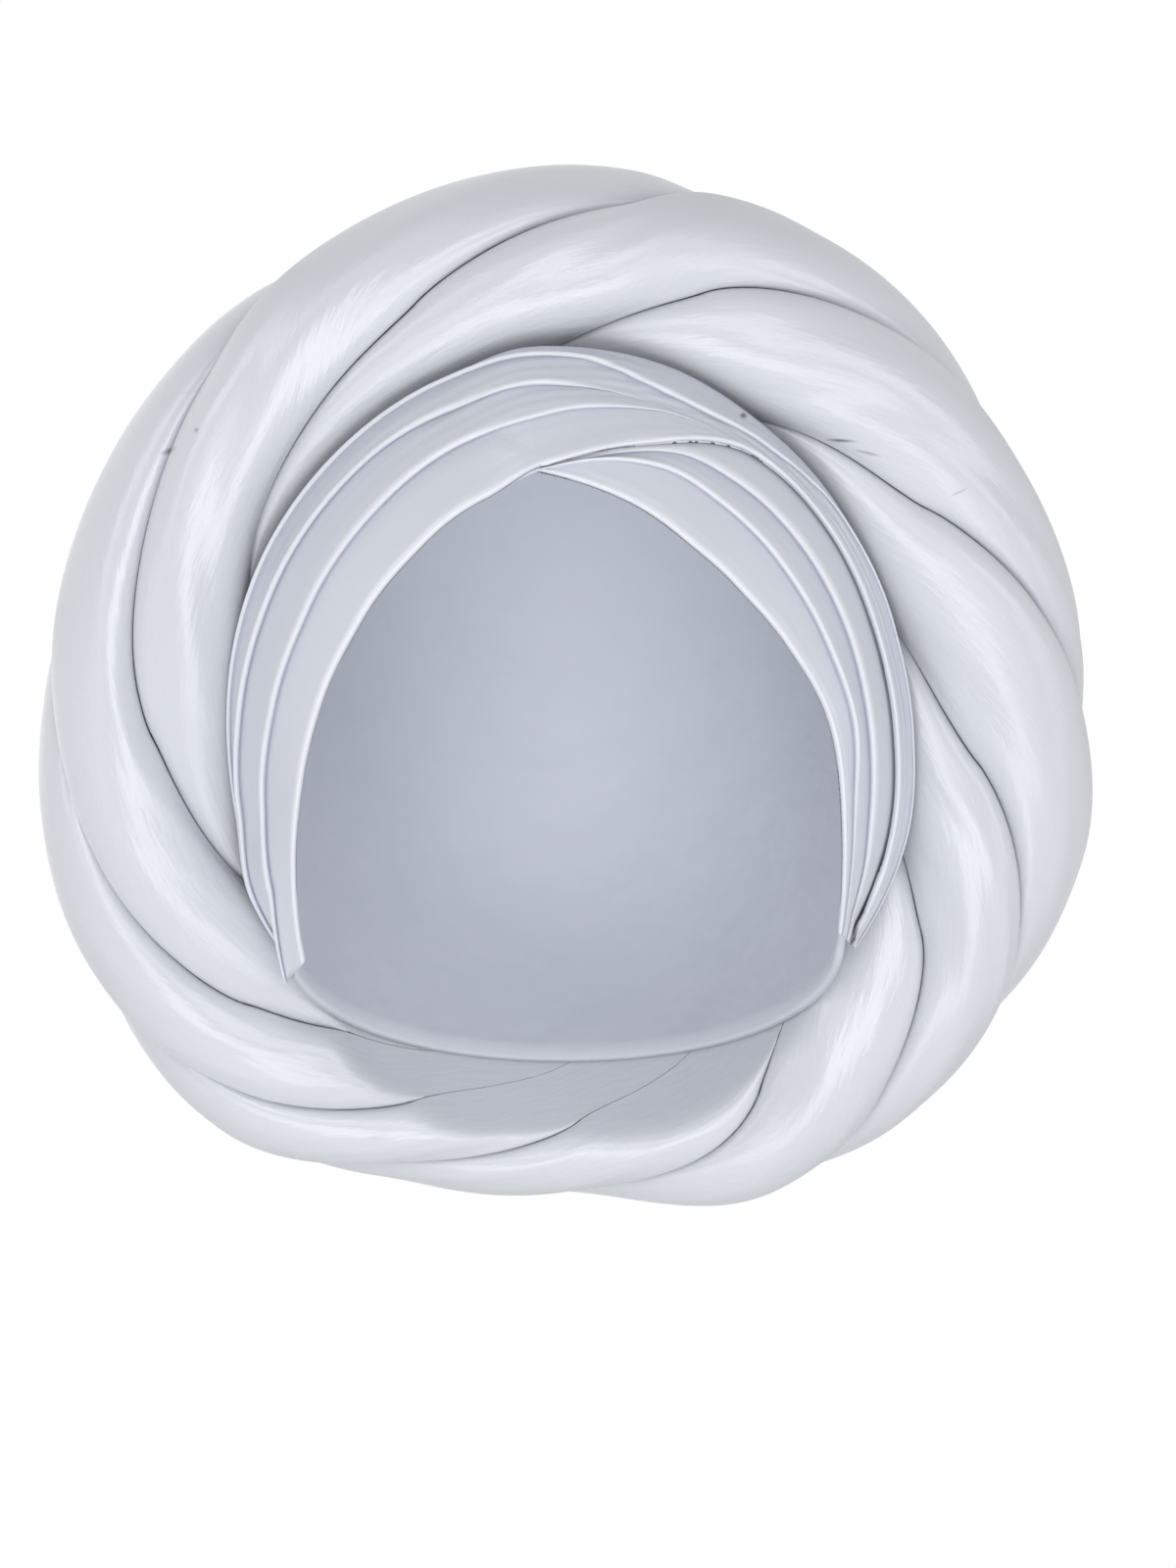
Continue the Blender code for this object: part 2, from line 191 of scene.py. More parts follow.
# The upper band by angle: its free edge and its outer edge as shares of RING_RADIUS, then where its
# three folded edges lie as shares of the way across it, and how far each stands up
OVER_TABLE = (
    # angle, free edge, outer edge, inner fold, middle fold, outer fold, and how far each stands
    (-42, 0.708, 0.726, 0.30, 0.60, 0.85, 0.0, 0.0, 0.3),
    (-24, 0.659, 0.694, 0.30, 0.55, 0.85, 0.0, 0.0, 0.4),
    (-7, 0.609, 0.649, 0.30, 0.55, 0.85, 0.0, 0.0, 0.4),
    (10, 0.576, 0.617, 0.30, 0.55, 0.85, 0.0, 0.0, 0.5),
    (30, 0.559, 0.604, 0.20, 0.40, 0.75, 0.0, 0.0, 0.5),
    (50, 0.540, 0.602, 0.14, 0.17, 0.35, 0.0, 0.0, 0.8),
    (71, 0.455, 0.616, 0.40, 0.48, 0.62, 0.4, 0.0, 1.0),
    (87, 0.408, 0.621, 0.40, 0.61, 0.85, 1.0, 0.6, 1.0),
    (96, 0.392, 0.624, 0.38, 0.645, 0.885, 1.0, 1.0, 1.0),
    (113, 0.360, 0.600, 0.44, 0.715, 0.95, 1.0, 1.0, 1.0),
    (133, 0.355, 0.591, 0.43, 0.76, 0.965, 1.0, 1.0, 1.0),
    (163, 0.389, 0.606, 0.42, 0.78, 0.965, 1.0, 1.0, 0.9),
    (184, 0.446, 0.626, 0.45, 0.82, 0.965, 1.0, 1.0, 0.7),
    (201, 0.519, 0.657, 0.50, 0.88, 0.970, 1.0, 1.0, 0.5),
    (214, 0.601, 0.711, 0.46, 0.88, 0.970, 1.0, 0.8, 0.3),
    (227, 0.704, 0.732, 0.55, 0.88, 0.970, 0.6, 0.5, 0.2),
)

# The lower band by angle: its face edge as a share of RING_RADIUS, then where its two folded edges
# lie as shares of the way to the upper band's free edge, and how far each stands up
UNDER_TABLE = (
    # angle, face edge, inner fold, outer fold, and how far each stands
    (-42, 0.691, 0.20, 0.60, 0.3, 0.3),
    (-33, 0.622, 0.20, 0.60, 0.4, 0.6),
    (-24, 0.568, 0.20, 0.54, 0.6, 0.9),
    (-7, 0.494, 0.34, 0.60, 1.0, 1.0),
    (10, 0.419, 0.40, 0.69, 1.0, 1.0),
    (30, 0.365, 0.43, 0.70, 1.0, 1.0),
    (50, 0.346, 0.45, 0.70, 1.0, 1.0),
    (71, 0.356, 0.68, 0.93, 1.0, 0.6),
    (96, 0.392, 0.85, 0.95, 0.5, 0.2),
    (106, 0.445, 0.85, 0.95, 0.2, 0.1),
)


def smooth(x, xs, ys):
    """A curve through the points of xs and ys that never overshoots them."""
    xs, ys = np.asarray(xs, float), np.asarray(ys, float)
    steps = np.diff(ys) / np.diff(xs)
    before, after = steps[:-1], steps[1:]
    same_way = before * after > 0
    total = np.where(same_way, before + after, 1.0)
    slopes = np.concatenate(
        [steps[:1], np.where(same_way, 2 * before * after / total, 0.0), steps[-1:]]
    )
    i = np.clip(np.searchsorted(xs, x) - 1, 0, len(xs) - 2)
    span = xs[i + 1] - xs[i]
    t = (x - xs[i]) / span
    inside = (
        (2 * t**3 - 3 * t**2 + 1) * ys[i]
        + (t**3 - 2 * t**2 + t) * span * slopes[i]
        + (3 * t**2 - 2 * t**3) * ys[i + 1]
        + (t**3 - t**2) * span * slopes[i + 1]
    )
    below, above = ys[0] + (x - xs[0]) * slopes[0], ys[-1] + (x - xs[-1]) * slopes[-1]
    return np.where(x < xs[0], below, np.where(x > xs[-1], above, inside))


def column(table, index):
    return [row[index] for row in table]


def from_table(table, index, angle):
    return smooth(angle, column(table, 0), column(table, index))


def round_ring(angle, index):
    """A column of the ring's table at an angle, joined up round the ring."""
    angles = np.array(column(RING_TABLE, 0), float)
    values = np.array(column(RING_TABLE, index), float)
    angles = np.concatenate([angles[-2:] - 360, angles, angles[:2] + 360])
    values = np.concatenate([values[-2:], values, values[:2]])
    return smooth(np.mod(angle, 360), angles, values)


def roll_section(angle):
    """The roll's section at an angle: the radius and depth of its middle, and its two half sizes."""
    outer = RING_RADIUS * round_ring(angle, 1)
    inner = RING_RADIUS * round_ring(angle, 2)
    half_depth = ROLL_DEPTH / 2 * round_ring(angle, 3)
    middle_y = RING_SET_BACK - RING_LEAN * np.sin(np.radians(angle))
    return (outer + inner) / 2, middle_y, (outer - inner) / 2, half_depth


def place(angle, radius, y):
    """A point given by its angle and radius about the ring's centre and its depth."""
    turn = np.radians(angle)
    x, z = radius * np.cos(turn), radius * np.sin(turn) - RING_DROP
    return np.stack(np.broadcast_arrays(x, y, z), axis=-1)


def head_gauge(points, clearance):
    """Below 1 inside the head's space grown by the clearance, and above 1 outside it."""
    x, y, z = points[..., 0], points[..., 1], points[..., 2] + HEAD_HEIGHT / 2
    below = np.clip(-z / (HEAD_HEIGHT / 2), 0, 1)
    drawn_in = np.where(y > 0, 1 - NAPE_TAPER * below**2, 1.0)
    plan = (x / (HEAD_WIDTH / 2 + clearance)) ** 2 + (
        y / (HEAD_DEPTH / 2 * drawn_in + clearance)
    ) ** 2
    level = np.abs(z / (HEAD_HEIGHT / 2 + clearance)) ** HEAD_SQUARENESS
    return (plan ** (HEAD_SQUARENESS / 2) + level) ** (1 / HEAD_SQUARENESS)


def furthest(start, along, inside):
    """How far each line from start can go, as a share, before inside(point) is false."""
    low, high = np.zeros(along.shape[:-1]), np.ones(along.shape[:-1])
    whole = inside(start + along)
    for _ in range(HALVINGS):
        middle = (low + high) / 2
        good = inside(start + along * middle[..., None])
        low, high = np.where(good, middle, low), np.where(good, high, middle)
    return np.where(whole, 1.0, low)


def sewn(name, vertices, faces, lengths, shine=None):
    """One closed cloth piece, smooth all over, with a UV map in metres: along it and across it. The
    shine says how much painted highlight each point gets, on and beside a folded edge."""
    mesh = bpy.data.meshes.new(name)
    mesh.from_pydata([tuple(v) for v in vertices], [], faces)
    weave = mesh.uv_layers.new(name="weave")
    corners = np.empty(len(mesh.loops), int)
    mesh.loops.foreach_get("vertex_index", corners)
    weave.data.foreach_set("uv", np.asarray(lengths, float)[corners].ravel())
    # How much painted highlight each point gets, which the satin turns into a lighter colour
    edge_highlight = mesh.attributes.new("edge_highlight", "FLOAT", "POINT")
    edge_highlight.data.foreach_set("value", np.zeros(len(vertices)) if shine is None else shine)
    bm = bmesh.new()
    bm.from_mesh(mesh)
    bmesh.ops.recalc_face_normals(bm, faces=bm.faces)
    bm.to_mesh(mesh)
    bm.free()
    mesh.shade_smooth()
    piece = bpy.data.objects.new(name, mesh)
    bpy.context.scene.collection.objects.link(piece)
    return piece


def sewn_through(name, rings, spine, shine=None):
    """A closed piece through its sections, with both ends filled. The lengths along it are measured
    at the spine, which is the number of a point in each section."""
    count, rows = len(rings[0]), len(rings)
    faces = []
    for first in range(0, (rows - 1) * count, count):
        for j in range(count):
            k = (j + 1) % count
            faces.append((first + j, first + count + j, first + count + k, first + k))
    faces.append(tuple(range(count)))
    faces.append(tuple((rows - 1) * count + j for j in range(count)))
    lengths, length = [], 0.0
    for i, ring in enumerate(rings):
        if i:
            length += float(np.linalg.norm(ring[spine] - rings[i - 1][spine]))
        steps = np.linalg.norm(np.diff(ring, axis=0), axis=1)
        lengths += [(length, x) for x in np.concatenate([[0.0], np.cumsum(steps)])]
    return sewn(name, np.concatenate(rings), faces, lengths, shine)


# The padded folds


def crease(index, angle):
    """Where a crease is round the roll at an angle about the ring. It strays a little from its even
    course."""
    turns, row = divmod(index, len(CREASE_TABLE))
    angles = [value - 360 * turns for value in CREASE_TABLE[row]]
    turn = np.radians(angle)
    stray = sum(share * np.sin(waves * turn + shift * row) for waves, shift, share in STRAYS)
    return smooth(angle, angles[::-1], ROUND_ROLL[::-1]) + CREASE_STRAY * stray


def crease_depth(around):
    """How deep the creases are as a share of the roll: shallow where the folds lie on the head."""
    away_from_head = np.abs(np.cos(np.radians(around) / 2)) ** SHALLOW_POWER
    return CREASE_SHARE * (SHALLOW_SHARE + (1 - SHALLOW_SHARE) * away_from_head)


def in_roll(angle, around, share):
    """A point of the roll by its angle about the ring, its angle round the roll and its depth share."""
    radius, y, half_width, half_depth = roll_section(angle)
    turn = np.radians(around)
    return place(
        angle,
        radius + share * half_width * squared(np.cos(turn)),
        y - share * half_depth * squared(np.sin(turn)),
    )


def squared(value):
    """A sine or cosine drawn out, so that the roll is a little squarer than an ellipse."""
    return np.sign(value) * np.abs(value) ** (2 / ROLL_SQUARENESS)


def pulls(index):
    """The long soft pulls in a fold's satin: where each lies across the fold and along it, how long,
    wide and high it is, and how far it wanders."""
    chance = random.Random(PULL_SEED + index)
    return [
        (
            chance.uniform(-0.85, 0.85),
            chance.uniform(-0.1, 1.1),
            chance.uniform(0.12, 0.40),
            chance.uniform(0.07, 0.18),
            chance.choice((-1, 1)) * chance.uniform(0.3, 1.0),
            chance.uniform(-0.5, 0.5),
        )
        for _ in range(PULLS_A_FOLD)
    ]


def pulled(index, along, across):
    """How far the pulls lift the satin at a place, in metres."""
    lift = np.zeros_like(across)
    for middle, centre, length, width, height, wander in pulls(index):
        reach = np.exp(-(((along - centre) / length) ** 2))
        line = middle + wander * (along - centre)
        lift = lift + height * reach * np.exp(-(((across - line) / width) ** 2))
    return PULL_HEIGHT * lift


def fold_ring(index, angle, along):
    """A fold's section at an angle about the ring, or None where it has run out."""
    low, high = crease(index, angle), crease(index + 1, angle)
    top, bottom = min(high, ROUND_ROLL[0] - SEAM_MARGIN), max(low, ROUND_ROLL[-1] + SEAM_MARGIN)
    if top - bottom < TIP_WIDTH:
        return None
    spread = (1 - np.cos(np.linspace(0, np.pi, FOLD_FACES + 1))) / 2
    around = bottom + (top - bottom) * spread
    across = np.clip(2 * (around - low) / (high - low) - 1, -1, 1)
    crown = np.sqrt(1 - np.abs(across) ** CROWN_POWER)
    full = 1 - crease_depth(around) * (1 - crown)
    half_width = roll_section(angle)[2]
    clear_of_bands = np.clip((PULLS_END - around) / PULLS_FADE, 0, 1)
    full = full + pulled(index, along, across) * crown * clear_of_bands / half_width
    middle = in_roll(angle, around, 0.0)
    skin = in_roll(angle, around, full)
    clear = CAP_WALL + SEATING
    reach = furthest(middle, skin - middle, lambda points: head_gauge(points, clear) > 1)
    skin = middle + (skin - middle) * reach[:, None]
    for _ in range(SOFTENING):
        skin[1:-1] = (skin[:-2] + 2 * skin[1:-1] + skin[2:]) / 4
    core = in_roll(angle, np.array([top, bottom]), CORE_SHARE)
    return inset_walls(np.concatenate([skin, core]))


def inset_walls(ring):
    """Moves both side walls of a fold's section inwards. A wall runs from an end of the skin to the
    end of the core beside it."""
    inward = ring.mean(axis=0)
    for outer, inner in ((0, -1), (-3, -2)):
        wall = ring[outer] - ring[inner]
        wall = wall / np.linalg.norm(wall)
        side = inward - ring[inner]
        side = side - wall * (side @ wall)
        shift = side / np.linalg.norm(side) * GAP * WALL_SHARE
        ring[outer] += shift
        ring[inner] += shift
    return ring


def padded_fold(index):
    """One padded fold, from where it leaves the head, over the outline and back to the head behind."""
    start = CREASE_TABLE[index][0]
    rings = []
    for angle in np.arange(start, start - FOLD_RUN, -FOLD_STEP):
        ring = fold_ring(index, angle, (start - angle) / FOLD_RUN)
        if ring is not None:
            rings.append(ring)
        elif rings:
            break
    return sewn_through(f"fold_{index + 1:02d}", rings, FOLD_FACES // 2)


# The pleated bands


def over_edge(angle):
    return RING_RADIUS * from_table(OVER_TABLE, 1, angle)


def outer_edge(angle):
    return RING_RADIUS * from_table(OVER_TABLE, 2, angle)


def under_face(angle):
    return RING_RADIUS * from_table(UNDER_TABLE, 1, angle)


def face_edge(angle):
    """The face opening's radius at an angle, over both bands."""
    return np.where(angle > UNDER_TABLE[-2][0], over_edge(angle), under_face(angle))


def band_share(angle, radius):
    """A radius as a share of the way from the face edge to the bands' outer edge."""
    return (radius - face_edge(angle)) / (outer_edge(angle) - face_edge(angle))


def lift_ramp(angle):
    """0 where the upper band lies on the cap at the left, 1 where it lies on the lower band."""
    ramp = np.clip((UNDER_TABLE[-1][0] + LIFT_SPAN - angle) / (LIFT_RUN * LIFT_SPAN), 0, 1)
    return ramp * ramp * (3 - 2 * ramp)


def over_lift(angle):
    """How much room the bands' seat leaves for the lower band beneath the upper one."""
    return (CLOTH + PLEAT_RISE + GAP) * lift_ramp(angle)


def off_head(points):
    """Moves points that lie in the cap out to its outside."""
    middle = np.array([0.0, 0.0, -HEAD_HEIGHT / 2])
    for _ in range(HEAD_PUSHES):
        gauge = head_gauge(points, CAP_WALL + SEATING)
        points = middle + (points - middle) * np.maximum(1 / gauge, 1)[..., None]
    return points


def off_roll(points, angle, clearance):
    """Moves points that lie in the roll, or within the clearance of it, out to that distance."""
    radius, y, half_width, half_depth = roll_section(angle)
    out = np.hypot(points[..., 0], points[..., 2] + RING_DROP) - radius
    back = points[..., 1] - y
    across = np.abs(out / (half_width + clearance)) ** ROLL_SQUARENESS
    through = np.abs(back / (half_depth + clearance)) ** ROLL_SQUARENESS
    grow = np.maximum((across + through) ** (-1 / ROLL_SQUARENESS), 1)
    return place(angle, radius + out * grow, y + back * grow)


def band_seat(angle, share):
    """The surface that the bands lie on, from the face edge on the cap out to the roll's valley."""
    first, last = face_edge(angle), outer_edge(angle)
    middle_radius, middle_y, half_width, half_depth = roll_section(angle)
    stack = SEATING + NESTLE_SHARE * (over_lift(angle) + CLOTH + PLEAT_RISE)
    side = np.clip(np.abs(last - middle_radius) / (half_width + stack), 0, 1)
    forward = (1 - side**ROLL_SQUARENESS) ** (1 / ROLL_SQUARENESS)
    valley_y = middle_y - (half_depth + stack) * forward
    edge = place(angle, first, 0.0)
    ahead = furthest(
        edge,
        np.array([0.0, -HEAD_DEPTH, 0.0]) + 0 * edge,
        lambda points: head_gauge(points, CAP_WALL + SEATING) < 1,
    )
    face_y = -HEAD_DEPTH * ahead
    lean = share - BAND_BELLY * share * (1 - share)
    points = place(angle, first + (last - first) * share, face_y + (valley_y - face_y) * lean)
    return off_head(points)


def band_normal(angle, share):
    """The direction out of the bands' seat, towards the front."""
    out = band_seat(angle, share + NORMAL_SHARE) - band_seat(angle, share - NORMAL_SHARE)
    along = band_seat(angle + NORMAL_ANGLE, share) - band_seat(angle - NORMAL_ANGLE, share)
    normal = np.cross(out, along)
    return normal / np.linalg.norm(normal, axis=-1, keepdims=True)


def pleat_outline(width, folds, stands, full):
    """A pleated strip's section as places across it and heights, in metres, from the face's side: a
    rounded hem, then strips that slope down and run in under the next folded edge. The third value
    says how much painted highlight each point gets: most on top of a folded edge, fading beside it."""
    size = FOLD_RADIUS * full
    nose = np.radians(np.linspace(-90, 90, NOSE_POINTS))
    places = [size * (1 - np.cos(nose))]
    heights = [size * (1 + np.sin(nose))]
    shines = [np.clip(np.sin(nose), 0, 1)]
    stand = 1.0
    start, high = size, 2 * size
    edges = [*folds, 1.0]
    for i, edge in enumerate(edges):
        end = edge * width
        low = CLOTH * full * (LAST_FOOT if i == len(folds) else STRIP_FOOT)
        t = np.linspace(0, 1, STRIP_POINTS + 1)[1:]
        away = (end - start) * t
        lines = sum(
            height * full * np.exp(-(((away - middle) / wide) ** 2))
            for height, middle, wide in PRESSED_LINES
        )
        places.append(start + away)
        heights.append(low + (high - low) * (1 - t) ** STRIP_POWER + lines * (1 - t))
        # The painted highlight fades over the strip away from the folded edge
        shines.append(min(stand, 1.0) * np.exp(-((away / EDGE_HIGHLIGHT_WIDTH) ** 2)))
        if i == len(folds):
            break
        stand = stands[i] * full
        tuck = min(FOLD_TUCK * stand, TUCK_LIMIT * (edges[i + 1] - edge) * width)
        radius = FOLD_RADIUS * stand
        bottom = low + FOLD_SLIT * stand
        places += [[end + tuck, end + tuck * 0.98], end + radius * (1 - np.cos(nose))]
        heights += [[low, bottom], bottom + radius * (1 + np.sin(nose))]
        shines += [[0.0, 0.0], min(stand, 1.0) * np.clip(np.sin(nose), 0, 1)]
        start, high = end + radius, bottom + 2 * radius
    return np.concatenate(places), np.concatenate(heights), np.concatenate(shines)


def strip(angle, first, last, folds, stands):
    """A pleated strip between two shares of the seat: the shares, heights and shines of its front's
    points, and how many metres one share is."""
    length = float(np.linalg.norm(band_seat(angle, last) - band_seat(angle, first)))
    full = min(1.0, LEAST_FULL + length / FULL_WIDTH)
    across, height, shine = pleat_outline(length, folds, stands, full)
    return first + (last - first) * across / length, height, shine, length / (last - first)


def under_shape(angle):
    """The lower band at an angle: the shares between which it lies, and its folded edges."""
    first = band_share(angle, under_face(angle))
    free = band_share(angle, over_edge(angle))
    last = free + TUCK_SHARE * (1 - free)
    shown = (free - first) / (last - first)
    folds = [float(from_table(UNDER_TABLE, i, angle)) * shown for i in (2, 3)]
    stands = [float(from_table(UNDER_TABLE, i, angle)) for i in (4, 5)]
    return first, last, folds, stands


@functools.lru_cache(maxsize=None)
def under_strip(angle):
    """The lower band's strip at an angle, kept because the upper band asks for each one often."""
    return strip(angle, *under_shape(angle))


def over_base(angle, share):
    """How high the upper band's back rides: down on the cap, and just clear of the lower band."""
    high = np.zeros_like(share)
    for near in (angle - BAND_STEP, angle, angle + BAND_STEP):
        near = float(np.clip(near, UNDER_TABLE[0][0], UNDER_TABLE[-1][0]))
        places, heights, _, metres = under_strip(near)
        away = np.abs(np.subtract.outer(share, places)) * metres
        high = np.maximum(high, (heights - LIFT_SLOPE * away).max(axis=1))
    return lift_ramp(angle) * (high + HEM_GAP)


def band_ring(angle, first, last, base, folds, stands):
    """A band's section at an angle: its pleated front over its plain back, as one closed ring of
    points, and their shines."""
    share, height, shine, _ = strip(angle, first, last, folds, stands)
    seat, normal = band_seat(angle, share), band_normal(angle, share)
    front = off_roll(seat + normal * (base(share) + height)[:, None], angle, SEATING)
    share = np.linspace(last, first, BACK_POINTS)
    back = band_seat(angle, share) + band_normal(angle, share) * base(share)[:, None]
    return np.concatenate([front, back]), np.concatenate([shine, np.zeros(BACK_POINTS)])


def front_band_over():
    """The upper band: up the left side, over the peak and down the right side's outer edge."""
    sections = []
    for angle in np.arange(OVER_TABLE[-1][0], OVER_TABLE[0][0] - 0.1, -BAND_STEP):
        folds = [float(from_table(OVER_TABLE, i, angle)) for i in (3, 4, 5)]
        stands = [float(from_table(OVER_TABLE, i, angle)) for i in (6, 7, 8)]
        first = band_share(angle, over_edge(angle))
        base = functools.partial(over_base, angle)
        sections.append(band_ring(angle, first, 1.0, base, folds, stands))
    return band("band_over", sections)


def front_band_under():
    """The lower band: from under the upper band at the peak down the right side."""
    sections = []
    for angle in np.arange(UNDER_TABLE[-1][0], UNDER_TABLE[0][0] - 0.1, -BAND_STEP):
        first, last, folds, stands = under_shape(angle)
        sections.append(band_ring(angle, first, last, np.zeros_like, folds, stands))
    return band("band_under", sections)


def band(name, sections):
    rings, shines = zip(*sections)
    return sewn_through(name, rings, len(rings[0]) // 3, np.concatenate(shines))


# The crown cap


def cap_way(turn, tilt):
    """A direction from the ring's centre. The tilt is counted from the back of the crown, and the
    turn goes round that point, 90 towards the forehead and -90 towards the nape."""
    around, lean, pole = np.radians(turn), np.radians(tilt), np.radians(CROWN_ANGLE)
    back = np.array([0.0, np.cos(pole), np.sin(pole)])
    over = np.array([0.0, -np.sin(pole), np.cos(pole)])
    side = np.array([1.0, 0.0, 0.0])
    return np.cos(lean) * back + np.sin(lean) * (np.cos(around) * side + np.sin(around) * over)


def cap_point(turn, tilt, clearance):
    """A point of the cap's face."""
    way = cap_way(turn, tilt)
    start = np.array([0.0, 0.0, -RING_DROP])
    share = furthest(start, way * HEAD_HEIGHT, lambda point: head_gauge(point, clearance) < 1)
    return start + way * HEAD_HEIGHT * share


def in_cap(point):
    """Whether the cap covers this point of the head."""
    angle = np.degrees(np.arctan2(point[2] + RING_DROP, point[0]))
    angle = np.mod(angle - UNDER_TABLE[0][0], 360) + UNDER_TABLE[0][0]
    radius = np.hypot(point[0], point[2] + RING_DROP)
    nape_radius, nape_y, nape_half, _ = roll_section(270.0)
    ends = (OVER_TABLE[-1], UNDER_TABLE[0])
    ear_z = min(RING_RADIUS * row[1] * np.sin(np.radians(row[0])) for row in ends)
    nape_z = nape_half - nape_radius - NAPE_TUCK
    level = ear_z + (nape_z - ear_z) * np.clip(point[1] / nape_y, 0, 1)
    covered = point[1] > 0 or radius > face_edge(angle) + CAP_RIM_INSET
    return covered and point[2] + RING_DROP > level


def cap_rim(turn):
    """The tilt at which the cap ends."""
    low, high = RIM_TILTS
    for _ in range(RIM_HALVINGS):
        tilt = (low + high) / 2
        low, high = (tilt, high) if in_cap(cap_point(turn, tilt, CAP_WALL)) else (low, tilt)
    return low


def crown_cap():
    """The cap as one wall: its outside, its inside and the rim between them."""
    turns = np.arange(CAP_COLUMNS) * 360 / CAP_COLUMNS
    rims = np.array([cap_rim(turn) for turn in turns])
    points, lengths = [], []
    for clearance in (CAP_WALL, 0.0):
        points.append(cap_point(0.0, 0.0, clearance))
        lengths.append((0.0, 0.0))
        for row in range(1, CAP_ROWS + 1):
            for turn, rim in zip(turns, rims):
                points.append(cap_point(turn, rim * row / CAP_ROWS, clearance))
                reach = np.radians(rim * row / CAP_ROWS) * HEAD_WIDTH / 2
                lengths.append(
                    (reach * np.cos(np.radians(turn)), reach * np.sin(np.radians(turn)))
                )
    inside = len(points) // 2
    rim = inside - CAP_COLUMNS
    faces = []
    for j in range(CAP_COLUMNS):
        k = (j + 1) % CAP_COLUMNS
        for first in (0, inside):
            faces.append((first, first + 1 + j, first + 1 + k))
            for near in range(first + 1, first + rim, CAP_COLUMNS):
                far = near + CAP_COLUMNS
                faces.append((near + j, far + j, far + k, near + k))
        faces.append((rim + j, inside + rim + j, inside + rim + k, rim + k))
    return sewn("cap", np.array(points), faces, lengths)


# Finishes

# The lighter colour of the bands' folded edges: a painted highlight
EDGE_HIGHLIGHT_COLOUR = "#E2E4EA"
# The marks' dark colour: dirt in the smudges, painted shade in the pin's hole and the wrinkles
DIRT_AND_SHADE_COLOUR = "#6E7078"
STREAK_SLANT = 0.24

# The small dark marks on the satin as the front shows them: smudges and a speck of dirt, a pin's hole
# whose dark dot is painted shade, and a few short wrinkles drawn as dark lines of painted shade
DIRT_AND_SHADE_MARKS = (
    # x, z, length, width, slant in degrees, how dark
    (-0.1040, -0.0184, 0.0030, 0.0010, 20, 0.70),
    (-0.0962, -0.0132, 0.0009, 0.0008, 0, 0.50),
    # A pin's hole: its dark dot is painted shade
    (0.0471, -0.0098, 0.0012, 0.0011, 0, 0.90),
    (-0.0806, -0.1996, 0.0009, 0.0008, 0, 0.40),
    # Short wrinkles: their dark lines are painted shade in the creases
    (0.0728, -0.0160, 0.0048, 0.0006, -4, 0.80),
    (0.0798, -0.0192, 0.0044, 0.0005, -14, 0.50),
    (0.1040, -0.0293, 0.0030, 0.0005, 25, 0.40),
)
# The marks reach MARK_REACH before and behind the depth MARK_Y, so they show on the front alone.
# MARK_CORE makes each one darken faster from its edge to its middle.
MARK_Y = -0.05
MARK_REACH = 0.09
MARK_CORE = 1.5

# A colour mix node's sockets by number, because its sockets of other kinds have the same names
MIX_FACTOR, MIX_FIRST, MIX_SECOND, MIX_RESULT = 0, 6, 7, 2


def colour(code):
    """An sRGB hex colour as Blender's linear one."""
    parts = [int(code[i : i + 2], 16) / 255 for i in (1, 3, 5)]
    linear = [c / 12.92 if c <= 0.04045 else ((c + 0.055) / 1.055) ** 2.4 for c in parts]
    return (*linear, 1.0)


def add_node(owner, kind, links=(), values=None, **settings):
    """Adds a node with its settings, its inputs' values and its links. A link is (this input, other
    node, other output)."""
    tree = owner.node_tree
    node = tree.nodes.new(kind)
    for name, value in settings.items():
        setattr(node, name, value)
    for name, value in (values or {}).items():
        node.inputs[name].default_value = value
    for name, other, output in links:
        tree.links.new(other.outputs[output], node.inputs[name])
    return node


def dirt_and_painted_shade(material):
    """How dark the small marks make each place of the satin's front, from 0 to 1: dirt at the smudges,
    painted shade at the pin's hole and the wrinkles.
    """
    spot = add_node(material, "ShaderNodeTexCoord")
    darkness = None
    for x, z, length, width, slant, dark in DIRT_AND_SHADE_MARKS:
        around = add_node(
            material,
            "ShaderNodeMapping",
            [("Vector", spot, "Object")],
            {
                "Location": (x, MARK_Y, z),
                "Rotation": (0.0, -math.radians(slant), 0.0),
                "Scale": (length, MARK_REACH, width),
            },
            vector_type="TEXTURE",
        )
        ball = add_node(
            material,
            "ShaderNodeTexGradient",
            [("Vector", around, "Vector")],
            gradient_type="SPHERICAL",
        )
        mark = add_node(
            material,
            "ShaderNodeMath",
            [(0, ball, "Fac")],
            {1: MARK_CORE * dark},
            operation="MULTIPLY",
            use_clamp=True,
        )
        if darkness:
            both = [(0, darkness, "Value"), (1, mark, "Value")]
            mark = add_node(material, "ShaderNodeMath", both, operation="MAXIMUM")
        darkness = mark
    return darkness


